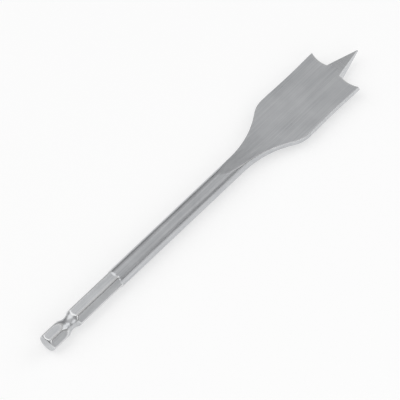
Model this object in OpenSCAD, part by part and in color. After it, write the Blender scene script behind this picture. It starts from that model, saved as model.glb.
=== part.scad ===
// Spade drill bit, forged and ground in one piece.
// A hexagonal tang with a ball groove leads into a round shank. The shank is flattened and spread
// into a blade, and the end of the blade is ground to two hollow cutting edges with corner spurs
// and a long centre point.
//
// The bit lies along +X, from the end of the tang at x = 0 to the tip, with its blade and two flats
// of the hexagon level. Loose, it rolls on the round shank until a corner of the hexagon stops it, so a
// chuck holds it by the hexagon. It cuts when it turns clockwise, seen from the tang.

/* [Overall] */
// Length from the end of the tang to the tip
overall_l = 152; // [146:1:200]
// Cutting diameter, across the outer corners of the blade
cut_d = 22; // [18:0.5:30]

/* [Tang] */
// Distance across the flats of the hexagon
hex_af = 6.35; // [6.2:0.05:6.45]
// Diameter that the corners of the hexagon are rounded to
hex_corner_d = 7.15; // [7.05:0.05:7.2]
// Length of the flats
hex_l = 32.5; // [26:0.5:45]
// Radius on the end of the tang
end_r = 1.5; // [0.5:0.1:1.7]
// Distance from the end of the tang to the middle of the ball groove
groove_x = 10.6; // [9:0.1:13]
// Diameter left at the bottom of the ball groove
groove_d = 4.75; // [4.4:0.05:5.2]
// Radius of the ball groove
groove_r = 3.6; // [2.4:0.1:4.5]
// Radius that eases the groove into the head of the tang
rim_r = 9; // [3:0.5:10]

/* [Shank] */
// Diameter of the round shank
shank_d = 6.8; // [6.5:0.05:7]
// Radius of the run-out between the hexagon and the shank
runout_r = 1.5; // [1:0.1:1.6]

/* [Blade] */
// Thickness of the blade
blade_t = 2.2; // [1.6:0.1:3]
// Length of the straight sides
side_l = 25; // [20:0.1:32]
// Length along the axis in which the shank spreads to the full width
flare_l = 24; // [20:1:30]
// Length of the hollow part of that spread
flare_hollow_l = 18; // [12:1:19]
// Radius of the ramp that thins the shank to the blade
ramp_r = 120; // [80:5:180]
// Distance from the foot of the ramp to the start of the spread
ramp_lead = 8; // [4:0.5:12]
// Depth of the clearance ground into each side
side_hollow = 0.2; // [0.1:0.05:0.3]
// Length at full diameter left at each end of a side
side_land = 2.8; // [1.5:0.1:5]

/* [Cutting end] */
// Length of the centre point
point_l = 11.7; // [8:0.1:15]
// Width of the centre point at its base
point_w = 6.8; // [5:0.1:9]
// How far the corner spurs stand ahead of the base of the point
spur_rise = 0.7; // [0.3:0.1:1.2]
// Depth of the hollow in each cutting edge
edge_hollow = 0.65; // [0.3:0.05:1]
// Relief angle behind each cutting edge
edge_relief = 14; // [8:1:20]
// Relief angle behind each edge of the point
point_relief = 20; // [10:1:25]
// Thickness of the point at the tip
tip_t = 0.5; // [0.3:0.1:0.8]
// Distance from the base of the point to where it starts to thin
thin_lead = 1.3; // [0.5:0.1:3]

/* [Hidden] */

// Facets drawn on a circle, and on the large circles of the ramp and the sides
$fn = 128;
large_fn = 256;

shank_r = shank_d / 2;
cut_r = cut_d / 2;
half_t = blade_t / 2;

// Stations along the axis, worked back from the tip
base_x = overall_l - point_l;
spur_x = base_x + spur_rise;
shoulder_x = spur_x - side_l;
neck_x = shoulder_x - flare_l;

// Two tangent arcs carry the outline from the shank out to the sides
flare_rise = cut_r - shank_r;
flare_sum_r = (pow(flare_l, 2) + pow(flare_rise, 2)) / (2 * flare_rise);
flare_hollow_share = flare_hollow_l / flare_l;
flare_r = flare_sum_r * flare_hollow_share;
shoulder_r = flare_sum_r - flare_r;
inflection_x = neck_x + flare_hollow_l;
inflection_r = shank_r + flare_rise * flare_hollow_share;

// The ramp is an arc that runs out tangent to the face of the blade
ramp_drop = shank_r - half_t;
ramp_l = sqrt(pow(ramp_r, 2) - pow(ramp_r - ramp_drop, 2));
ramp_end_x = neck_x - ramp_lead + ramp_l;

// The shank's rounded end starts under the flats and comes out through them at the end of the flats
runout_rise = hex_af / 2 - shank_r + runout_r;
shank_x = hex_l - runout_r + sqrt(pow(runout_r, 2) - pow(runout_rise, 2));

// How far a cutter reaches past the metal that it takes off
clear = 2 * cut_d;

// Radius of an arc from its chord and its depth
function arc_radius(chord, depth) = (pow(chord / 2, 2) + pow(depth, 2)) / (2 * depth);

// Turns a profile of radius against length about the X axis
module turned() {
    rotate([0, 90, 0]) rotate_extrude() children();
}

// Repeats a cut on the opposite side of the axis, half a turn on
module both_sides() {
    children();
    rotate([180, 0, 0]) children();
}

// Half section of a round bar whose first end is rounded
module bar_profile(bar_r, bar_l, round_r) {
    translate([0, round_r]) square([bar_r, bar_l - round_r]);
    square([bar_r - round_r, 2 * round_r]);
    translate([bar_r - round_r, round_r]) circle(r = round_r);
}

// Bar that rounds the corners of the hexagon and runs them out at both ends
module tang_profile() {
    bar_l = hex_l + runout_r;
    intersection() {
        bar_profile(hex_corner_d / 2, bar_l, end_r);
        translate([0, bar_l]) mirror([0, 1]) bar_profile(hex_corner_d / 2, bar_l, runout_r);
    }
}

// Ball groove, cut square into the flats behind it and eased into the head in front of it
module groove_profile() {
    corner_r = hex_corner_d / 2;
    sum_r = groove_r + rim_r;
    depth = corner_r - groove_d / 2;
    rim_x = groove_x - sqrt(pow(sum_r, 2) - pow(sum_r - depth, 2));
    rim_share = rim_r / sum_r;
    meet_l = (groove_x - rim_x) * rim_share;
    meet_r = corner_r - rim_r + (sum_r - depth) * rim_share;
    translate([groove_d / 2 + groove_r, groove_x]) circle(r = groove_r);
    difference() {
        translate([meet_r, rim_x]) square([groove_r, meet_l]);
        translate([corner_r - rim_r, rim_x]) circle(r = rim_r);
    }
}

// Hexagonal tang, flats parallel to the blade, with the groove that a chuck's ball drops into
module tang() {
    difference() {
        intersection() {
            rotate([0, 90, 0]) rotate([0, 0, 30])
                cylinder(d = hex_af / cos(30), h = hex_l + runout_r, $fn = 6);
            turned() tang_profile();
        }
        turned() groove_profile();
    }
}

// Outline of the shank and the spread blade before it is flattened, as radius against length
module blank_profile() {
    translate([0, shank_x]) bar_profile(shank_r, neck_x - shank_x, runout_r);
    difference() {
        translate([0, neck_x]) square([inflection_r, flare_hollow_l]);
        translate([shank_r + flare_r, neck_x]) circle(r = flare_r, $fn = large_fn);
    }
    intersection() {
        translate([0, inflection_x]) square([cut_r, flare_l - flare_hollow_l]);
        union() {
            translate([cut_r - shoulder_r, shoulder_x]) circle(r = shoulder_r);
            translate([0, inflection_x]) square([max(cut_r - shoulder_r, 0), flare_l]);
        }
    }
    translate([0, shoulder_x]) square([cut_r, overall_l - shoulder_x]);
}

// Side view of the flattened bit: full height at the shank, down a ramp to the blade's thickness
module flattened_profile() {
    difference() {
        translate([0, -shank_d]) square([overall_l, 2 * shank_d]);
        for (side = [0, 1]) mirror([0, side]) {
            translate([ramp_end_x, half_t + ramp_r]) circle(r = ramp_r, $fn = large_fn);
            translate([ramp_end_x, half_t]) square([overall_l, clear]);
        }
    }
}

// Round shank flattened and spread into the blade, with square front corners still in place
module forged_blank() {
    intersection() {
        turned() blank_profile();
        rotate([90, 0, 0]) linear_extrude(2 * clear, center = true) flattened_profile();
    }
}

// Metal ground away beside the point, down to one hollow cutting edge.
// The edge lies on the upper face, which leads as the bit turns.
module gullet() {
    base_y = point_w / 2;
    tip_inset = half_t * tan(point_relief);
    point_angle = atan(base_y / point_l) - asin(tip_inset / norm([point_l, base_y]));
    edge_l = norm([spur_rise, cut_r - base_y]);
    edge_r = arc_radius(edge_l, edge_hollow);
    edge_angle = atan(spur_rise / (cut_r - base_y));
    intersection() {
        translate([base_x, base_y, half_t])
            rotate([0, 0, -point_angle])
            rotate([-point_relief, 0, 0])
            translate([-clear, 0, -clear]) cube([2 * clear, clear, 2 * clear]);
        translate([base_x, base_y, half_t]) rotate([0, 0, -edge_angle]) rotate([0, edge_relief, 0]) {
            translate([edge_r - edge_hollow, edge_l / 2, 0])
                cylinder(r = edge_r, h = 2 * clear, center = true);
            translate([0, -clear, -clear]) cube(2 * clear);
        }
    }
}

// Metal ground off one face of the point, so that it thins to the tip
module point_thinning() {
    thin_angle = atan((half_t - tip_t / 2) / (point_l - thin_lead));
    translate([base_x + thin_lead, 0, half_t]) rotate([0, thin_angle, 0])
        translate([0, -clear, 0]) cube(2 * clear);
}

// Shallow clearance ground into one side of the blade, between its two lands
module side_clearance() {
    hollow_l = side_l - 2 * side_land;
    hollow_r = arc_radius(hollow_l, side_hollow);
    translate([shoulder_x + side_l / 2, cut_r - side_hollow + hollow_r, 0])
        cylinder(r = hollow_r, h = 2 * blade_t, center = true, $fn = large_fn);
}

module spade_bit() {
    color("silver") {
        tang();
        difference() {
            forged_blank();
            both_sides() gullet();
            both_sides() point_thinning();
            both_sides() side_clearance();
        }
    }
}

spade_bit();
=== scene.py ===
"""Spade drill bit: one piece of forged and ground steel, lying on a plain white floor.

Sizes in the classes of the bit are millimetres. Its mesh is scaled to metres once, when it is written.
Sizes of the steel's pattern and of the stage are metres, and angles are radians.
"""

import logging
import math
from dataclasses import dataclass
from enum import Enum, IntEnum

import bpy
import numpy as np
from mathutils import Matrix, Vector


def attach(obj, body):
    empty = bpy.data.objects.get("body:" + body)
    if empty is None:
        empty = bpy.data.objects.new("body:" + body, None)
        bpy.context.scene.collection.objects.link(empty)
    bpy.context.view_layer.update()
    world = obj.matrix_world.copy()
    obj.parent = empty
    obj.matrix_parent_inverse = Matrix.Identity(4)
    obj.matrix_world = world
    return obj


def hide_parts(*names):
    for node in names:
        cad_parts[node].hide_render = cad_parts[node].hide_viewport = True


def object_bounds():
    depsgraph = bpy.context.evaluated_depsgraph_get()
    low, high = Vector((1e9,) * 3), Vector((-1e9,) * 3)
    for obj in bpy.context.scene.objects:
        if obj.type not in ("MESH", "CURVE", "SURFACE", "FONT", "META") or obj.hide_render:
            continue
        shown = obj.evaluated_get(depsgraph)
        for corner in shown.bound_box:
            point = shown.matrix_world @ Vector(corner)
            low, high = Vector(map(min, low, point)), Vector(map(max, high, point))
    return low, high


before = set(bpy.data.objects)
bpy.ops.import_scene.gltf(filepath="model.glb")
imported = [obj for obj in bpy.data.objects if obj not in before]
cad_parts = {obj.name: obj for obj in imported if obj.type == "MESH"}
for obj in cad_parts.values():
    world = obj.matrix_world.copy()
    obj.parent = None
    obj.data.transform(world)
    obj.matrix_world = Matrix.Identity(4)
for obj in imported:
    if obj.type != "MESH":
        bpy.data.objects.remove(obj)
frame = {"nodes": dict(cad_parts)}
CAD_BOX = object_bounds()

LOG = logging.getLogger("spade_bit")
METRES_PER_MM = 0.001
NOISE_MIDDLE = 0.5
# Half a turn about the axis of the bit, as factors of x, y and z
HALF_TURN = np.array([1.0, -1.0, -1.0])

Array = np.ndarray
Colour = tuple[float, float, float, float]
Triple = tuple[float, float, float]
Span = tuple[float, float]
Settings = dict[str, object]
Sockets = dict[str | int, object]


class Stage(Enum):
    """The things round the bit that light it and show it."""

    KEY = "key_softbox"
    STRIP = "strip_softbox"
    FILL = "fill_softbox"
    FLOOR = "white_floor"
    CAMERA = "drawing_view"


class MixSocket(IntEnum):
    """Places of a Mix node's colour sockets, which have their names in common with others."""

    SHARE = 0
    FIRST = 6
    SECOND = 7
    RESULT = 2


def arc_height(radius: float, offset: Array) -> Array:
    """Height of a circle above its middle: sqrt(radius^2 - offset^2), and 0 outside the circle.

    Args:
        radius: Radius of the circle.
        offset: Distance from the middle of the circle, along the base.

    Returns:
        The height, with the shape of offset.
    """
    return np.sqrt(np.clip(radius**2 - np.square(offset), 0.0, None))


def arc_radius(chord: float, depth: float) -> float:
    """Radius of an arc from its chord and its depth: (chord^2 / 4 + depth^2) / (2 depth)."""
    return (chord**2 / 4 + depth**2) / (2 * depth)


def soft_min(a: Array, b: Array, width: float) -> Array:
    """Lower of two values, with the corner between them eased.

    The ease takes width / 4 * (1 - |a - b| / width)^2 off the lower value where the two are closer
    than width.

    Args:
        a: First value.
        b: Second value.
        width: Difference over which the corner is eased.

    Returns:
        The eased lower value.
    """
    near = np.clip(1 - np.abs(a - b) / width, 0.0, None)
    return np.minimum(a, b) - width / 4 * np.square(near)


def smooth_step(low: float, high: float, value: Array) -> Array:
    """Goes from 0 at low to 1 at high along 3 t^2 - 2 t^3."""
    t = np.clip((value - low) / (high - low), 0.0, 1.0)
    return t * t * (3 - 2 * t)


def between(first: Array, last: Array, share: Array) -> Array:
    """Straight mix: first where share is 0, last where it is 1."""
    return first + (last - first) * share


def steps(first: float, last: float, count: int) -> Array:
    """Places after first, up to last, in equal steps."""
    return np.linspace(first, last, count + 1)[1:]


@dataclass(frozen=True)
class Tang:
    """Hexagonal tang with rounded corners and a ball groove."""

    across_flats: float = 6.35
    corner_d: float = 7.15
    flat_l: float = 32.5
    end_r: float = 1.5
    groove_x: float = 10.6
    groove_d: float = 4.75
    groove_r: float = 3.6
    rim_r: float = 9.0
    runout_r: float = 1.5
    edge_ease: float = 0.12
    edge_reach: float = 0.16

    def turned_radius(self, x: Array) -> Array:
        """Radius of the bar that the corners are turned to, along the axis.

        Arcs round both ends. The groove is a hollow arc, and on the side of the end a large arc that
        is tangent to it eases it into the head.

        Args:
            x: Distance from the end of the tang.

        Returns:
            The radius at each x.
        """
        corner_r = self.corner_d / 2
        end = corner_r - self.end_r + arc_height(self.end_r, np.maximum(self.end_r - x, 0))
        past = np.clip(x - self.flat_l, 0, self.runout_r)
        runout = corner_r - self.runout_r + arc_height(self.runout_r, past)
        sum_r = self.groove_r + self.rim_r
        depth = corner_r - self.groove_d / 2
        rim_x = self.groove_x - math.sqrt(sum_r**2 - (sum_r - depth) ** 2)
        meet_x = rim_x + (self.groove_x - rim_x) * self.rim_r / sum_r
        rim = corner_r - self.rim_r + arc_height(self.rim_r, np.maximum(x - rim_x, 0))
        hollow = self.groove_d / 2 + self.groove_r - arc_height(self.groove_r, x - self.groove_x)
        return np.minimum(np.minimum(end, runout), np.where(x < meet_x, rim, hollow))

    def flat_radius(self, angle: Array) -> Array:
        """Distance from the axis to the flats: half the width over the cosine from a flat's middle.

        Args:
            angle: Angle about the axis, from a corner of the hexagon.

        Returns:
            The distance at each angle.
        """
        sixth = math.radians(60)
        turn = np.mod(angle, sixth) - sixth / 2
        return self.across_flats / 2 / np.cos(turn)

    def radius(self, x: Array, angle: Array) -> Array:
        """Radius of the tang at each station and angle, its edges eased."""
        return soft_min(self.turned_radius(x), self.flat_radius(angle), self.edge_ease)

    def edge_share(self, x: Array, angle: Array) -> Array:
        """Closeness to an edge of a flat: 1 on it, falling off as a bell curve."""
        gap = (self.turned_radius(x) - self.flat_radius(angle)) / self.edge_reach
        return np.exp(-np.square(gap))


@dataclass(frozen=True)
class Shank:
    """Round shank with a rounded end that comes out through the flats of the tang."""

    diameter: float = 6.8
    runout_r: float = Tang.runout_r

    def start(self, tang: Tang) -> float:
        """Station of the shank's rounded end, which reaches the flats where they end."""
        rise = tang.across_flats / 2 - self.diameter / 2 + self.runout_r
        return tang.flat_l - self.runout_r + math.sqrt(self.runout_r**2 - rise**2)

    def radius(self, x: Array, tang: Tang) -> Array:
        """Radius of the shank: an arc rounds its first end, and it is 0 before that end.

        Args:
            x: Stations along the axis.
            tang: Tang that the shank comes out of.

        Returns:
            The radius at each x.
        """
        along = x - self.start(tang)
        back = np.clip(self.runout_r - along, 0, self.runout_r)
        full = self.diameter / 2 - self.runout_r + arc_height(self.runout_r, back)
        return np.where(along < 0, 0.0, full)


@dataclass(frozen=True)
class Blade:
    """Shank flattened by two ramps and spread into a blade."""

    shank_d: float = Shank.diameter
    cut_d: float = 22.0
    thickness: float = 2.2
    shoulder_x: float = 116.0
    side_l: float = 25.0
    flare_l: float = 24.0
    flare_hollow_l: float = 18.0
    ramp_r: float = 120.0
    ramp_lead: float = 8.0
    side_hollow: float = 0.2
    side_land: float = 2.8

    @property
    def half_t(self) -> float:
        """Half the thickness of the blade."""
        return self.thickness / 2

    @property
    def neck_x(self) -> float:
        """Station where the shank starts to spread."""
        return self.shoulder_x - self.flare_l

    def outline_radius(self, x: Array) -> Array:
        """Half width of the bit, seen on the face of the blade.

        A hollow arc leaves the shank and a round one meets the sides. They are tangent to each other,
        and each side is then hollowed by a shallow arc between its two lands.

        Args:
            x: Stations along the axis.

        Returns:
            The half width at each x.
        """
        shank_r, cut_r = self.shank_d / 2, self.cut_d / 2
        rise = cut_r - shank_r
        sum_r = (self.flare_l**2 + rise**2) / (2 * rise)
        flare_r = sum_r * self.flare_hollow_l / self.flare_l
        shoulder_r = sum_r - flare_r
        hollow = shank_r + flare_r - arc_height(flare_r, np.maximum(x - self.neck_x, 0))
        full = cut_r - shoulder_r + arc_height(shoulder_r, np.maximum(self.shoulder_x - x, 0))
        spread = np.where(x < self.neck_x + self.flare_hollow_l, hollow, full)
        clear_l = self.side_l - 2 * self.side_land
        clear_r = arc_radius(clear_l, self.side_hollow)
        middle = self.shoulder_x + self.side_l / 2
        clear = cut_r - self.side_hollow + clear_r - arc_height(clear_r, x - middle)
        return np.minimum(spread, np.where(np.abs(x - middle) < clear_l / 2, clear, cut_r))

    def half_height(self, x: Array) -> Array:
        """Half thickness along the axis: a large arc down to the face, and level from there.

        Args:
            x: Stations along the axis.

        Returns:
            The half thickness at each x.
        """
        drop = self.shank_d / 2 - self.half_t
        ramp_l = math.sqrt(self.ramp_r**2 - (self.ramp_r - drop) ** 2)
        end_x = self.neck_x - self.ramp_lead + ramp_l
        return self.half_t + self.ramp_r - arc_height(self.ramp_r, np.maximum(end_x - x, 0))


@dataclass(frozen=True)
class CuttingEnd:
    """Ground end of the blade: two hollow cutting edges, corner spurs and a centre point.

    Each surface is a distance along the axis as a function of the place (y, z) in a section. The half
    with positive y cuts on its upper face, and the other half is the same, half a turn on.
    """

    overall_l: float = 152.0
    cut_r: float = Blade.cut_d / 2
    half_t: float = Blade.thickness / 2
    point_l: float = 11.7
    point_w: float = 6.8
    spur_rise: float = 0.7
    edge_hollow: float = 0.65
    edge_relief: float = math.radians(14)
    point_relief: float = math.radians(20)
    tip_t: float = 0.5
    thin_lead: float = 1.3
    thin_ease: float = 0.08
    arc_passes: int = 6
    solve_passes: int = 40

    @property
    def base_x(self) -> float:
        """Station of the base of the point."""
        return self.overall_l - self.point_l

    @property
    def base_y(self) -> float:
        """Half the width of the point at its base."""
        return self.point_w / 2

    @property
    def point_angle(self) -> float:
        """Angle of an edge of the point to the axis, which brings its two flanks together at the tip.

        Returns:
            The slope of the edge, less what the relief takes off the thickness at the tip.
        """
        inset = self.half_t * math.tan(self.point_relief)
        slant = math.hypot(self.point_l, self.base_y)
        return math.atan(self.base_y / self.point_l) - math.asin(inset / slant)

    def flank_reach(self, y: Array, z: Array) -> Array:
        """How far along the axis the flank of the point lies: a plane, relieved behind its upper edge.

        Args:
            y: Places across the blade.
            z: Heights.

        Returns:
            The station of the flank at each place.
        """
        lean = (z - self.half_t) * math.tan(self.point_relief)
        across = (y - self.base_y) * math.cos(self.point_angle)
        return self.base_x + (lean - across) / math.sin(self.point_angle)

    def edge_reach(self, y: Array, z: Array) -> Array:
        """How far along the axis a wing reaches: a hollow cylinder, relieved behind its upper edge.

        The chord of the hollow runs from the base of the point to the corner spur. A place on the
        surface has to lie on the arc in the frame of the chord, which a few passes settle, because
        the chord is nearly square to the axis.

        Args:
            y: Places across the blade.
            z: Heights.

        Returns:
            The station of the surface at each place.
        """
        wing_w = self.cut_r - self.base_y
        chord = math.hypot(self.spur_rise, wing_w)
        turn = math.atan(self.spur_rise / wing_w)
        edge_r = arc_radius(chord, self.edge_hollow)
        across = y - self.base_y
        drop = (z - self.half_t) * math.sin(self.edge_relief)
        ahead = np.zeros(np.broadcast(y, z).shape)
        for _ in range(self.arc_passes):
            along = ahead * math.sin(turn) + across * math.cos(turn) - chord / 2
            arc = edge_r - self.edge_hollow - arc_height(edge_r, along)
            arc = np.where(np.abs(along) < chord / 2, arc, 0.0)
            level = (arc + drop) / math.cos(self.edge_relief)
            ahead = (level + across * math.sin(turn)) / math.cos(turn)
        return self.base_x + ahead

    def reach(self, y: Array, z: Array) -> Array:
        """Front of the bit at a place in the section.

        The metal of one half ends at the further of its flank and its wing, and a place has to be in
        the metal of both halves, so the front is the nearer of the two.

        Args:
            y: Places across the blade.
            z: Heights.

        Returns:
            The station of the front at each place.
        """
        near = np.maximum(self.flank_reach(y, z), self.edge_reach(y, z))
        far = np.maximum(self.flank_reach(-y, -z), self.edge_reach(-y, -z))
        return np.minimum(near, far)

    def face_height(self, x: Array) -> Array:
        """Half thickness of the end: that of the blade, then thinned by a plane to the tip.

        Args:
            x: Stations along the axis.

        Returns:
            The half thickness at each x.
        """
        slope = (self.half_t - self.tip_t / 2) / (self.point_l - self.thin_lead)
        plane = self.half_t - (x - self.base_x - self.thin_lead) * slope
        return np.minimum(soft_min(plane, np.full_like(plane, self.half_t), self.thin_ease), self.half_t)

    def trailing_base(self) -> float:
        """Half width of the point's base on the face that trails, where flank and wing meet there.

        Returns:
            The place across the blade, found by halving the range that holds it.
        """
        low, high = 0.0, self.base_y
        under = np.array(-self.half_t)
        for _ in range(self.solve_passes):
            middle = np.array((low + high) / 2)
            if self.flank_reach(middle, under) > self.edge_reach(middle, under):
                low = float(middle)
            else:
                high = float(middle)
        return (low + high) / 2

    def face_front(self, y: Array) -> Array:
        """Front edge of the upper face, where the face and the front surfaces meet.

        The height of the edge gives its station and the station gives the height, until both settle.

        Args:
            y: Places across the blade.

        Returns:
            The station of the edge at each place.
        """
        z = np.full_like(y, self.half_t)
        for _ in range(self.solve_passes):
            z = self.face_height(self.reach(y, z))
        return self.reach(y, z)

    def tip_y(self) -> float:
        """Place of the tip on the upper face: the chisel edge leans with the relief of the flanks."""
        return self.tip_t / 2 * math.tan(self.point_relief) / math.cos(self.point_angle)


@dataclass(frozen=True)
class Grid:
    """Counts and spacing of the surface's lines.

    The first counts are steps along the axis, from the end of the tang to the front. The next are steps
    round a section.
    """

    end_n: int = 12
    flats_n: int = 99
    runout_n: int = 34
    round_n: int = 12
    ramp_n: int = 9
    spread_n: int = 90
    sides_n: int = 40
    front_n: int = 40
    fillet_n: int = 4
    side_n: int = 24
    wing_n: int = 16
    flank_n: int = 12
    lead_share: float = 0.32
    trail_share: float = 0.245
    corner: float = math.radians(45)
    corner_ease: float = math.radians(5)
    fillet: float = 0.22
    crease: float = 0.15
    bulge_rate: float = 6.0

    @property
    def strip_n(self) -> int:
        """Points along one side strip."""
        return 2 * self.fillet_n + self.side_n + 1

    @property
    def face_n(self) -> int:
        """Columns across one face, both edges included."""
        return 2 * (self.wing_n + self.flank_n) + 1

    def columns(self) -> Array:
        """Places of the columns across a face, from 1 at one edge to -1 at the other."""
        return self.across(1.0, self.lead_share, 0.0, self.trail_share)

    def across(self, edge: float, lead: float, tip: float, trail: float) -> Array:
        """Places of the columns across the upper face or along its front edge.

        Args:
            edge: Outer edge of the face.
            lead: Base of the point on the half that leads.
            tip: Place of the tip.
            trail: Base of the point on the half that trails.

        Returns:
            Places from the edge, by way of both bases and the tip, to the other edge.
        """
        stops = ((edge, lead, self.wing_n), (lead, tip, self.flank_n))
        stops += ((tip, -trail, self.flank_n), (-trail, -edge, self.wing_n))
        runs = [np.linspace(first, last, n + 1)[:-1] for first, last, n in stops]
        return np.concatenate([*runs, np.array([-edge])])


@dataclass
class Surface:
    """A closed mesh in the making: points in millimetres, faces, and what each carries."""

    points: Array
    faces: Array
    # Closeness to an edge for each point; the steel is painted lighter there, as wear and as a
    # highlight.
    wear_and_highlight: Array
    ground: Array


@dataclass(frozen=True)
class SpadeBit:
    """The bit as one closed surface.

    A loop of points goes round each section: up one side strip, across the upper face, down the other
    side strip and back across the lower face. The second half of a loop is the first one turned by half
    a turn about the axis. Sections are in polar form up to round_end_x and flattened from there to
    ground_x, closer together from spread_x to sides_x. From ground_x each line runs on to the front.
    """

    tang: Tang = Tang()
    shank: Shank = Shank()
    blade: Blade = Blade()
    end: CuttingEnd = CuttingEnd()
    grid: Grid = Grid()
    runout_reach: float = 1.1 * Tang.runout_r
    round_end_x: float = 60.0
    spread_x: float = 82.0
    sides_x: float = 118.0
    ground_x: float = 138.4
    # Reach of the band behind the front edges that is painted lighter, as wear and as a highlight.
    edge_wear_and_highlight: float = 0.3
    sharp_angle: float = math.radians(34)
    name: str = "spade_bit_steel"

    def turned_stations(self) -> Array:
        """Stations from the end of the tang to the middle of the shank, closer where arcs turn.

        Returns:
            The stations, in even steps of angle round the end and of length elsewhere.
        """
        tang, grid = self.tang, self.grid
        before_x, after_x = tang.flat_l - self.runout_reach, tang.flat_l + self.runout_reach
        end = tang.end_r * (1 - np.cos(np.linspace(0, math.pi / 2, grid.end_n + 1)))
        flats = steps(tang.end_r, before_x, grid.flats_n)
        runout = steps(before_x, after_x, grid.runout_n)
        plain = steps(after_x, self.round_end_x, grid.round_n)
        return np.concatenate([end, flats, runout, plain])

    def flat_stations(self) -> Array:
        """Stations from the middle of the shank to the start of the ground end.

        Returns:
            The stations, in even steps of length in each stretch.
        """
        plain = steps(self.round_end_x, self.spread_x, self.grid.ramp_n)
        spread = steps(self.spread_x, self.sides_x, self.grid.spread_n)
        sides = steps(self.sides_x, self.ground_x, self.grid.sides_n)
        return np.concatenate([plain, spread, sides])

    def turned_half(self) -> tuple[Array, Array]:
        """Half loops of the tang and the round shank, in polar form about the axis.

        The radius is the larger of the tang's and the shank's, with the corner between them eased.

        Returns:
            Points, and their closeness to an edge.
        """
        grid, x = self.grid, self.turned_stations()[:, None]
        half_fillet = grid.fillet / (self.shank.diameter / 2)
        inner, outer = grid.corner - half_fillet, grid.corner + half_fillet
        fillet = np.linspace(inner, outer, grid.fillet_n + 1)
        middle = np.linspace(-inner, inner, grid.side_n + 1)
        face = np.arccos(grid.columns()[1:-1] * math.cos(outer))
        angle = np.concatenate([-fillet[::-1], middle[1:], fillet[1:], face])[None, :]
        tang = self.tang.radius(x, angle)
        shank = self.shank.radius(x, self.tang)
        radius = -soft_min(-tang, -np.broadcast_to(shank, tang.shape), self.tang.edge_ease)
        points = np.stack([x + 0 * angle, radius * np.cos(angle), radius * np.sin(angle)], axis=-1)
        # The edges of the flats get the edge mark, which paints them lighter as wear and as a highlight.
        bare = np.where(shank > tang, 0.0, 1.0)
        return points, self.tang.edge_share(x, angle) * bare

    def flat_half(self) -> tuple[Array, Array]:
        """Half loops of the shank, the ramps and the blade.

        A section is a circle cut off level above and below. Where the cut makes a real corner, the
        corner is rounded by a parabola between a point on the face and a point on the side. Before
        that the section's strips meet at 45 degrees on the circle.

        Returns:
            Points, and their closeness to an edge.
        """
        grid, x = self.grid, self.flat_stations()[:, None]
        out_r, half_h = self.blade.outline_radius(x), self.blade.half_height(x)
        corner = np.arcsin(np.clip(half_h / out_r, 0, 1))
        real = 1 - smooth_step(grid.corner - grid.corner_ease, grid.corner + grid.corner_ease, corner)
        turn = grid.fillet / out_r
        side_angle = between(grid.corner - turn, corner - turn, real)
        face_y = between(out_r * np.cos(grid.corner + turn), out_r * np.cos(corner) - grid.fillet, real)
        face_z = self.section_height(face_y, out_r, half_h)
        knee_r = out_r / np.cos(turn)
        knee_y = between(knee_r * math.cos(grid.corner), out_r * np.cos(corner), real)
        knee_z = between(knee_r * math.sin(grid.corner), np.minimum(half_h, out_r), real)
        t = np.linspace(0, 1, grid.fillet_n + 1)[None, :]
        weights = ((1 - t) ** 2, 2 * t * (1 - t), t**2)
        fillet_y = weights[0] * out_r * np.cos(side_angle) + weights[1] * knee_y + weights[2] * face_y
        fillet_z = weights[0] * out_r * np.sin(side_angle) + weights[1] * knee_z + weights[2] * face_z
        angle = side_angle * np.linspace(-1, 1, grid.side_n + 1)[None, :]
        y = grid.columns()[None, 1:-1] * face_y
        z = self.section_height(y, out_r, half_h)
        side_y, side_z = out_r * np.cos(angle), out_r * np.sin(angle)
        all_y = np.concatenate([fillet_y[:, ::-1], side_y[:, 1:], fillet_y[:, 1:], y], axis=1)
        all_z = np.concatenate([-fillet_z[:, ::-1], side_z[:, 1:], fillet_z[:, 1:], z], axis=1)
        # The rounded corners get the edge mark, painted lighter as wear and as a highlight.
        edge = np.sin(math.pi * t) * real
        blank = np.zeros_like(side_y[:, 1:])
        wear_and_highlight = np.concatenate([edge[:, ::-1], blank, edge[:, 1:], np.zeros_like(y)], axis=1)
        return np.stack([x + 0 * all_y, all_y, all_z], axis=-1), wear_and_highlight

    def section_height(self, y: Array, out_r: Array, half_h: Array) -> Array:
        """Upper edge of a section: the circle, cut off level, with the crease between them eased."""
        return soft_min(arc_height(1.0, y / out_r) * out_r, half_h + 0 * y, self.grid.crease)

    def front_half(self, last: Array) -> tuple[Array, Array]:
        """Half loops from the last level section to the front edges.

        A point of a side strip keeps its place in the section. A column of the face runs to its own
        place on the front edge, and follows the face down where the point is thinned.

        Args:
            last: Half loop of the last level section.

        Returns:
            Points, and their closeness to an edge.
        """
        grid, end = self.grid, self.end
        share = steps(0, 1, grid.front_n)[:, None]
        strip, face = last[: grid.strip_n], last[grid.strip_n :]
        strip_x = end.reach(strip[:, 1], strip[:, 2])
        front_y = grid.across(strip[-1, 1], end.base_y, end.tip_y(), end.trailing_base())[1:-1]
        front_x = end.face_front(front_y)
        x = between(self.ground_x, np.concatenate([strip_x, front_x])[None, :], share)
        y = between(face[None, :, 1], front_y[None, :], share)
        z = end.face_height(x[:, grid.strip_n :])
        strip_y = np.broadcast_to(strip[None, :, 1], (grid.front_n, grid.strip_n))
        strip_z = np.broadcast_to(strip[None, :, 2], (grid.front_n, grid.strip_n))
        all_y, all_z = np.concatenate([strip_y, y], axis=1), np.concatenate([strip_z, z], axis=1)
        # The front edges get the edge mark, painted lighter as wear and as a highlight and fading behind
        # the edges.
        return np.stack([x, all_y, all_z], axis=-1), np.exp((x - x[-1:, :]) / self.edge_wear_and_highlight)

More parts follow.
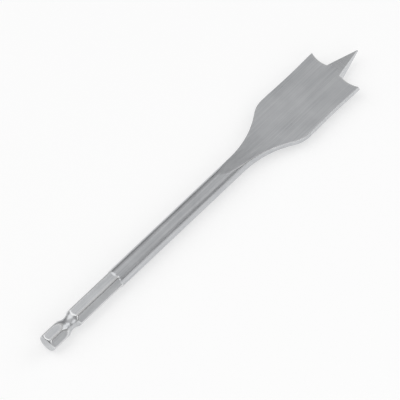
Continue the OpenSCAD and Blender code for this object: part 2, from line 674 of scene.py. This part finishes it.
    def loops(self) -> tuple[Array, Array]:
        """Joins the half loops of the three stretches, and adds their twins, half a turn on.

        Returns:
            Points by station and place in the loop, and their closeness to an edge.
        """
        turned, turned_wear_and_highlight = self.turned_half()
        flat, flat_wear_and_highlight = self.flat_half()
        front, front_wear_and_highlight = self.front_half(flat[-1])
        half = np.concatenate([turned, flat, front])
        wear_and_highlight = np.concatenate([turned_wear_and_highlight, flat_wear_and_highlight, np.maximum(front_wear_and_highlight, flat_wear_and_highlight[-1:])])
        return np.concatenate([half, half * HALF_TURN], axis=1), np.concatenate([wear_and_highlight, wear_and_highlight], axis=1)

    def cap_rows(self, count: int) -> Array:
        """Places in a loop, as rows from the upper face to the lower one, with -1 inside the cap.

        Args:
            count: Points in half a loop.

        Returns:
            A table of strip_n rows and face_n columns.
        """
        grid = self.grid
        table = np.full((grid.strip_n, grid.face_n), -1)
        strip = np.arange(grid.strip_n)
        upper = np.arange(grid.strip_n, count)
        table[:, 0] = strip[::-1]
        table[:, -1] = count + strip
        table[0, 1:-1] = upper
        table[-1, 1:-1] = (count + upper)[::-1]
        return table

    def cap_places(self, loop: Array, table: Array) -> Array:
        """Places (y, z) inside a cap, on lines between the faces.

        A line joins the matching points of the two faces. Near the sides the lines take up the bulge
        of the side strips, which dies away as (1 - bulge_rate * share)^2.

        Args:
            loop: Places (y, z) round the section.
            table: Places in the loop by row and column.

        Returns:
            Places by row and column, the rim included.
        """
        rim = loop[np.where(table < 0, 0, table)]
        top, bottom = rim[:1], rim[-1:]
        down = (rim[:1, :1, 1] - rim[:, :1, 1]) / (rim[0, 0, 1] - rim[-1, 0, 1])
        places = between(top, bottom, down[:, :, None])
        share = np.linspace(0, 1, table.shape[1])[None, :, None]
        near = np.square(np.clip(1 - self.grid.bulge_rate * share, 0, 1))
        far = np.square(np.clip(1 - self.grid.bulge_rate * (1 - share), 0, 1))
        return places + near * (rim[:, :1] - places[:, :1]) + far * (rim[:, -1:] - places[:, -1:])

    def surface(self) -> Surface:
        """Closes the tube of loops with a cap at each end.

        Returns:
            The surface in millimetres, with wear and painted highlight for each point and a ground mark
            for each face.
        """
        loops, loop_wear_and_highlight = self.loops()
        rows, count = loops.shape[:2]
        table = self.cap_rows(count // 2)
        inside = table < 0
        inner_n = int(inside.sum())
        front_places = self.cap_places(loops[-1, :, 1:], table)[inside]
        back_places = self.cap_places(loops[0, :, 1:], table)[inside]
        front_x = self.end.reach(front_places[:, 0], front_places[:, 1])
        front_inner = np.column_stack([front_x, front_places])
        back_inner = np.column_stack([np.zeros(inner_n), back_places])
        points = np.concatenate([loops.reshape(-1, 3), front_inner, back_inner])
        front_table, back_table = table + (rows - 1) * count, table.copy()
        front_table[inside] = rows * count + np.arange(inner_n)
        back_table[inside] = rows * count + inner_n + np.arange(inner_n)
        index = np.arange(rows * count).reshape(rows, count)
        onward = np.roll(index, -1, axis=1)
        tube = np.stack([index[:-1], onward[:-1], onward[1:], index[1:]], axis=-1).reshape(-1, 4)
        front, back = self.quads(front_table), self.quads(back_table)[:, ::-1]
        wear_and_highlight = np.concatenate([loop_wear_and_highlight.ravel(), np.zeros(2 * inner_n)])
        ground = np.concatenate([self.ground_sides(loops), np.ones(len(front)), np.zeros(len(back))])
        return Surface(points, np.concatenate([tube, front, back]), wear_and_highlight, ground)

    def ground_sides(self, loops: Array) -> Array:
        """Marks the faces of the side strips on the straight sides of the blade, which are ground.

        Args:
            loops: Points by station and place in the loop.

        Returns:
            1 for each face of the tube that is ground, and 0 for the others.
        """
        on_blade = loops[:-1, :, 0] > self.blade.shoulder_x
        place = np.arange(loops.shape[1]) % (loops.shape[1] // 2)
        first = self.grid.fillet_n
        on_side = (place >= first) & (place < first + self.grid.side_n)
        return (on_blade & on_side[None, :]).astype(float).ravel()

    @staticmethod
    def quads(table: Array) -> Array:
        """Four-sided faces between the neighbouring rows and columns of a table of points."""
        corners = (table[:-1, :-1], table[:-1, 1:], table[1:, 1:], table[1:, :-1])
        return np.stack(corners, axis=-1).reshape(-1, 4)

    def build(self, finish: "ToolSteel") -> bpy.types.Object:
        """Writes the surface into a mesh and dresses it.

        Args:
            finish: Steel that the bit is made of.

        Returns:
            The finished piece, riding on the root body in place of the solid.
        """
        made = self.surface()
        mesh = bpy.data.meshes.new(self.name)
        mesh.from_pydata((made.points * METRES_PER_MM).tolist(), [], made.faces.tolist())
        mesh.polygons.foreach_set("use_smooth", np.ones(len(mesh.polygons), dtype=bool))
        # The edge mark paints the steel lighter, as wear and as a highlight; the ground mark picks the
        # ground faces.
        marks = ((finish.wear_and_highlight_name, "POINT", made.wear_and_highlight), (finish.ground_name, "FACE", made.ground))
        for label, domain, values in marks:
            layer = mesh.attributes.new(label, "FLOAT", domain)
            layer.data.foreach_set("value", values.astype(np.float32))
        mesh.set_sharp_from_angle(angle=self.sharp_angle)
        mesh.update()
        mesh.materials.append(finish.material())
        piece = bpy.data.objects.new(self.name, mesh)
        bpy.context.scene.collection.objects.link(piece)
        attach(piece, "root")
        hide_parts("spade_bit")
        return piece


class Signal:
    """A value in a shader. Sums and products of signals and numbers add Math nodes."""

    def __init__(self, bench: "Bench", socket: bpy.types.NodeSocket) -> None:
        """Keeps the node tree and the socket that gives the value."""
        self.bench = bench
        self.socket = socket

    def combine(self, operation: str, other: "Signal | float", swapped: bool = False) -> "Signal":
        """Adds one Math node.

        Args:
            operation: Name of the operation.
            other: Second value.
            swapped: Whether the other value comes first.

        Returns:
            The result.
        """
        first, second = (other, self) if swapped else (self, other)
        return self.bench.signal("ShaderNodeMath", {"operation": operation}, {0: first, 1: second})

    def __add__(self, other: "Signal | float") -> "Signal":
        """Sum."""
        return self.combine("ADD", other)

    def __radd__(self, other: float) -> "Signal":
        """Sum with a number first."""
        return self.combine("ADD", other, swapped=True)

    def __sub__(self, other: "Signal | float") -> "Signal":
        """Difference."""
        return self.combine("SUBTRACT", other)

    def __rsub__(self, other: float) -> "Signal":
        """Difference from a number."""
        return self.combine("SUBTRACT", other, swapped=True)

    def __mul__(self, other: "Signal | float") -> "Signal":
        """Product."""
        return self.combine("MULTIPLY", other)

    def __rmul__(self, other: float) -> "Signal":
        """Product with a number first."""
        return self.combine("MULTIPLY", other, swapped=True)

    def __or__(self, other: "Signal | float") -> "Signal":
        """Larger of two masks."""
        return self.combine("MAXIMUM", other)

    def __ror__(self, other: float) -> "Signal":
        """Larger of two masks with a number first."""
        return self.combine("MAXIMUM", other, swapped=True)


class Bench:
    """Node tree of a material or of the world, with one method that adds a node."""

    def __init__(self, tree: bpy.types.NodeTree) -> None:
        """Empties the tree."""
        self.tree = tree
        tree.nodes.clear()

    def add(self, kind: str, settings: Settings, sockets: Sockets) -> bpy.types.Node:
        """Adds a node.

        Args:
            kind: Type of the node.
            settings: Values of its own settings, set first.
            sockets: Values or links of its inputs, by name or place.

        Returns:
            The node.
        """
        node = self.tree.nodes.new(kind)
        for key, value in settings.items():
            setattr(node, key, value)
        for key, value in sockets.items():
            if isinstance(value, Signal):
                self.tree.links.new(value.socket, node.inputs[key])
            else:
                node.inputs[key].default_value = value
        return node

    def signal(self, kind: str, settings: Settings, sockets: Sockets, output: str | int = 0) -> Signal:
        """Adds a node and gives one of its outputs.

        Args:
            kind: Type of the node.
            settings: Values of its own settings.
            sockets: Values or links of its inputs.
            output: Output that is wanted, by name or place.

        Returns:
            The value of that output.
        """
        return Signal(self, self.add(kind, settings, sockets).outputs[output])

    def blend(self, share: Signal, first: Signal | Colour, second: Signal | Colour) -> Signal:
        """Mix of two colours: first where share is 0, second where it is 1."""
        sockets = {MixSocket.SHARE: share, MixSocket.FIRST: first, MixSocket.SECOND: second}
        return self.signal("ShaderNodeMix", {"data_type": "RGBA"}, sockets, MixSocket.RESULT)


@dataclass(frozen=True)
class Grain:
    """Lines or patches in the steel: noise with its own number of waves per metre along X, Y and Z."""

    scale: Triple
    octaves: float = 2.0
    falloff: float = 0.55

    def signal(self, bench: Bench, place: Signal) -> Signal:
        """Adds the noise.

        Args:
            bench: Tree of the material.
            place: Object coordinates, in metres.

        Returns:
            Values about NOISE_MIDDLE.
        """
        mapped = bench.signal("ShaderNodeMapping", {}, {"Vector": place, "Scale": self.scale})
        sockets = {"Vector": mapped, "Scale": 1.0, "Detail": self.octaves, "Roughness": self.falloff}
        return bench.signal("ShaderNodeTexNoise", {}, sockets, "Fac")


@dataclass(frozen=True)
class ToolSteel:
    """Satin tool steel, brushed along the bit, with bright ground faces and worn edges painted as
    highlights.

    Lines run along the forged and the round surfaces, across the marked ground faces, and round the
    groove, the end of the tang and the thinned point. A span is where along the bit a mask goes from 0
    to 1.
    """

    dark: Colour = (0.43, 0.44, 0.46, 1.0)
    light: Colour = (0.70, 0.71, 0.72, 1.0)
    # Pale grey of the edges: partly worn steel and partly a painted highlight along each edge.
    worn_and_highlit: Colour = (0.80, 0.80, 0.80, 1.0)
    brushed: Grain = Grain((45, 5200, 5200))
    broad: Grain = Grain((18, 900, 900))
    cloud: Grain = Grain((150, 150, 150), octaves=3.0)
    cross: Grain = Grain((4200, 4200, 260))
    rings: Grain = Grain((5200, 90, 90))
    brushed_share: float = 0.6
    tone: float = 0.5
    line_tone: float = 1.5
    cloud_tone: float = 0.5
    ground_tone: float = 0.18
    # How far the edges go towards that pale grey, as wear and as painted highlight.
    wear_and_highlight_tone: float = 0.7
    roughness: float = 0.31
    line_rough: float = 0.16
    cloud_rough: float = 0.08
    ground_drop: float = 0.12
    wear_drop: float = 0.10
    line_depth: float = 0.00002
    line_strength: float = 0.22
    end_span: Span = (0.0010, 0.0018)
    groove_span: Span = (0.0052, 0.0066)
    flats_span: Span = (0.0136, 0.0140)
    thinned_span: Span = (0.1412, 0.1420)
    wear_and_highlight_name: str = "edge_wear_and_highlight"
    ground_name: str = "ground_face"
    name: str = "satin_tool_steel"

    def past(self, bench: Bench, along: Signal, span: Span) -> Signal:
        """Mask of what lies past a span: it goes smoothly from 0 to 1 over the span.

        Args:
            bench: Tree of the material.
            along: Distance along the bit.
            span: Where the mask starts and ends to rise.

        Returns:
            The mask.
        """
        settings = {"interpolation_type": "SMOOTHSTEP", "clamp": True}
        sockets = {"Value": along, "From Min": span[0], "From Max": span[1]}
        return bench.signal("ShaderNodeMapRange", settings, sockets, "Result")

    def material(self) -> bpy.types.Material:
        """Builds the steel.

        Returns:
            The material.
        """
        steel = bpy.data.materials.new(self.name)
        steel.use_nodes = True
        bench = Bench(steel.node_tree)
        place = bench.signal("ShaderNodeTexCoord", {}, {}, "Object")
        along = bench.signal("ShaderNodeSeparateXYZ", {}, {"Vector": place}, "X")
        # Closeness to an edge, where the steel is painted lighter: partly wear and partly a painted
        # highlight.
        wear_and_highlight = bench.signal("ShaderNodeAttribute", {"attribute_name": self.wear_and_highlight_name}, {}, "Fac")
        marked = bench.signal("ShaderNodeAttribute", {"attribute_name": self.ground_name}, {}, "Fac")
        thinned = self.past(bench, along, self.thinned_span) * (1 - marked)
        ground = marked | thinned
        groove = self.past(bench, along, self.groove_span) - self.past(bench, along, self.flats_span)
        turned = groove | (1 - self.past(bench, along, self.end_span))
        grains = (self.brushed, self.broad, self.cloud, self.cross, self.rings)
        brushed, broad, cloud, cross, rings = (grain.signal(bench, place) for grain in grains)
        lengthwise = self.brushed_share * brushed + (1 - self.brushed_share) * broad
        plain = 1 - (ground | turned)
        lines = lengthwise * plain + cross * marked + rings * (turned | thinned)
        line_swing = lines - NOISE_MIDDLE
        cloud_swing = cloud - NOISE_MIDDLE
        tone = self.tone + self.line_tone * line_swing + self.cloud_tone * cloud_swing
        colour = bench.blend(tone + self.ground_tone * ground, self.dark, self.light)
        # Painted highlight and wear: the edges are blended towards the pale grey.
        colour = bench.blend(self.wear_and_highlight_tone * wear_and_highlight, colour, self.worn_and_highlit)
        rough = self.roughness + self.line_rough * line_swing + self.cloud_rough * cloud_swing
        rough = rough - self.ground_drop * ground - self.wear_drop * wear_and_highlight
        sockets = {"Strength": self.line_strength, "Distance": self.line_depth, "Height": lines}
        bump = bench.signal("ShaderNodeBump", {}, sockets, "Normal")
        sockets = {"Base Color": colour, "Metallic": 1.0, "Roughness": rough, "Normal": bump}
        shader = bench.signal("ShaderNodeBsdfPrincipled", {}, sockets, "BSDF")
        bench.add("ShaderNodeOutputMaterial", {}, {"Surface": shader})
        return steel


@dataclass(frozen=True)
class Softbox:
    """Flat lamp that faces the bit."""

    role: Stage
    direction: Triple
    distance: float
    size: tuple[float, float]
    radiance: float

    def build(self, target: Vector) -> bpy.types.Object:
        """Adds the lamp.

        Its power is radiance times pi times its area.

        Args:
            target: Point that it faces.

        Returns:
            The lamp.
        """
        lamp = bpy.data.lights.new(self.role.value, "AREA")
        lamp.shape = "RECTANGLE"
        lamp.size, lamp.size_y = self.size
        lamp.energy = self.radiance * math.pi * self.size[0] * self.size[1]
        away = Vector(self.direction).normalized()
        held = bpy.data.objects.new(self.role.value, lamp)
        facing = away.to_track_quat("Z", "Y").to_matrix().to_4x4()
        held.matrix_world = Matrix.Translation(target + away * self.distance) @ facing
        bpy.context.scene.collection.objects.link(held)
        return held


@dataclass(frozen=True)
class Viewpoint:
    """Camera that sees the bit as the drawing does: from behind the tang, above and to one side.

    Lens and sensor are millimetres, and the offset is pixels of the drawing.
    """

    azimuth: float = -2.2195
    elevation: float = 0.9680
    roll: float = -0.1983
    distance: float = 1.4803
    clip_end: float = 10.0
    lens: float = 400.0
    sensor: float = 36.0
    pixels: int = 400
    offset: tuple[float, float] = (4.675, -5.034)

    def build(self, target: Vector) -> bpy.types.Object:
        """Adds the camera.

        Its axis passes beside the target, so that the target falls on the pixel it has in the drawing.

        Args:
            target: Middle of the bit.

        Returns:
            The camera.
        """
        level = math.cos(self.elevation)
        away = Vector(
            (level * math.cos(self.azimuth), level * math.sin(self.azimuth), math.sin(self.elevation))
        )
        flat_right = Vector((0, 0, 1)).cross(away).normalized()
        flat_up = away.cross(flat_right)
        right = math.cos(self.roll) * flat_right + math.sin(self.roll) * flat_up
        up = math.cos(self.roll) * flat_up - math.sin(self.roll) * flat_right
        pixel = self.distance * self.sensor / self.lens / self.pixels
        aim = target - right * (self.offset[0] * pixel) + up * (self.offset[1] * pixel)
        camera = bpy.data.cameras.new(Stage.CAMERA.value)
        camera.lens, camera.sensor_width = self.lens, self.sensor
        camera.clip_end = self.clip_end
        held = bpy.data.objects.new(Stage.CAMERA.value, camera)
        turned = Matrix((right, up, away)).transposed().to_4x4()
        held.matrix_world = Matrix.Translation(aim + away * self.distance) @ turned
        bpy.context.scene.collection.objects.link(held)
        bpy.context.scene.camera = held
        return held


@dataclass(frozen=True)
class Studio:
    """White floor, soft light and the drawing's viewpoint.

    The floor shows a mix of a white glow and of paint that takes the bit's shadow. The lamps light the
    paint to a little less than white, and the glow makes up for it.
    """

    floor_size: float = 6.0
    floor_colour: Colour = (0.97, 0.97, 0.97, 1.0)
    floor_glow: float = 1.22
    shadow_share: float = 0.6
    zenith: float = 0.88
    horizon: float = 0.18
    viewpoint: Viewpoint = Viewpoint()
    lamps: tuple[Softbox, ...] = (
        Softbox(Stage.KEY, (-0.38, 0.55, 0.74), distance=1.0, size=(1.2, 1.2), radiance=0.75),
        Softbox(Stage.STRIP, (-0.30, -0.85, 0.45), distance=0.7, size=(0.60, 0.40), radiance=1.0),
        Softbox(Stage.FILL, (0.80, -0.35, 0.50), distance=0.9, size=(0.80, 0.60), radiance=1.0),
    )

    def build(self, target: Vector, ground_z: float) -> None:
        """Sets the stage.

        Args:
            target: Middle of the bit.
            ground_z: Height of the floor.
        """
        self.build_floor(ground_z)
        self.build_world()
        for lamp in self.lamps:
            lamp.build(target)
        self.viewpoint.build(target)
        bpy.context.scene.view_settings.view_transform = "Standard"

    def seen(self, bench: Bench) -> Signal:
        """Mask of the rays that show a surface: from the camera, or by way of metal or glass.

        Args:
            bench: Tree of the surface's material.

        Returns:
            The mask.
        """
        path = bench.add("ShaderNodeLightPath", {}, {})
        names = ("Is Camera Ray", "Is Glossy Ray", "Is Transmission Ray")
        camera, glossy, through = (Signal(bench, path.outputs[name]) for name in names)
        return camera | glossy | through

    def build_floor(self, ground_z: float) -> None:
        """Adds a large level floor that shows white, with part of the bit's shadow on it.

        Args:
            ground_z: Height of the floor.
        """
        side = self.floor_size / 2
        corners = [(-side, -side, ground_z), (side, -side, ground_z)]
        corners += [(side, side, ground_z), (-side, side, ground_z)]
        mesh = bpy.data.meshes.new(Stage.FLOOR.value)
        mesh.from_pydata(corners, [], [(0, 1, 2, 3)])
        paint = bpy.data.materials.new("white_floor_paint")
        paint.use_nodes = True
        bench = Bench(paint.node_tree)
        matt = bench.signal("ShaderNodeBsdfDiffuse", {}, {"Color": self.floor_colour})
        white = bench.signal("ShaderNodeEmission", {}, {"Strength": self.floor_glow})
        share = (1 - self.shadow_share) * self.seen(bench)
        mixed = bench.signal("ShaderNodeMixShader", {}, {0: share, 1: matt, 2: white})
        bench.add("ShaderNodeOutputMaterial", {}, {"Surface": mixed})
        mesh.materials.append(paint)
        floor = bpy.data.objects.new(Stage.FLOOR.value, mesh)
        bpy.context.scene.collection.objects.link(floor)

    def build_world(self) -> None:
        """Lights the stage from all round, more from above than from the horizon."""
        world = bpy.data.worlds.new("soft_room")
        world.use_nodes = True
        bench = Bench(world.node_tree)
        direction = bench.signal("ShaderNodeTexCoord", {}, {}, "Generated")
        height = bench.signal("ShaderNodeSeparateXYZ", {}, {"Vector": direction}, "Z")
        strength = self.horizon + (self.zenith - self.horizon) * (height | 0.0)
        light = bench.signal("ShaderNodeBackground", {}, {"Strength": strength})
        bench.add("ShaderNodeOutputWorld", {}, {"Surface": light})
        bpy.context.scene.world = world


def main() -> None:
    """Builds the bit and the stage round it."""
    logging.basicConfig(level=logging.INFO, format="%(name)s: %(message)s")
    LOG.info("solids in the frame: %s", ", ".join(frame["nodes"]))
    low, high = CAD_BOX
    piece = SpadeBit().build(ToolSteel())
    LOG.info("%s: %d points, %d faces", piece.name, len(piece.data.vertices), len(piece.data.polygons))
    middle = Vector(((low.x + high.x) / 2, 0.0, 0.0))
    studio = Studio()
    studio.build(middle, low.z)
    LOG.info("%s and %d lamps", Stage.FLOOR.value, len(studio.lamps))


if __name__ == "__main__":
    main()
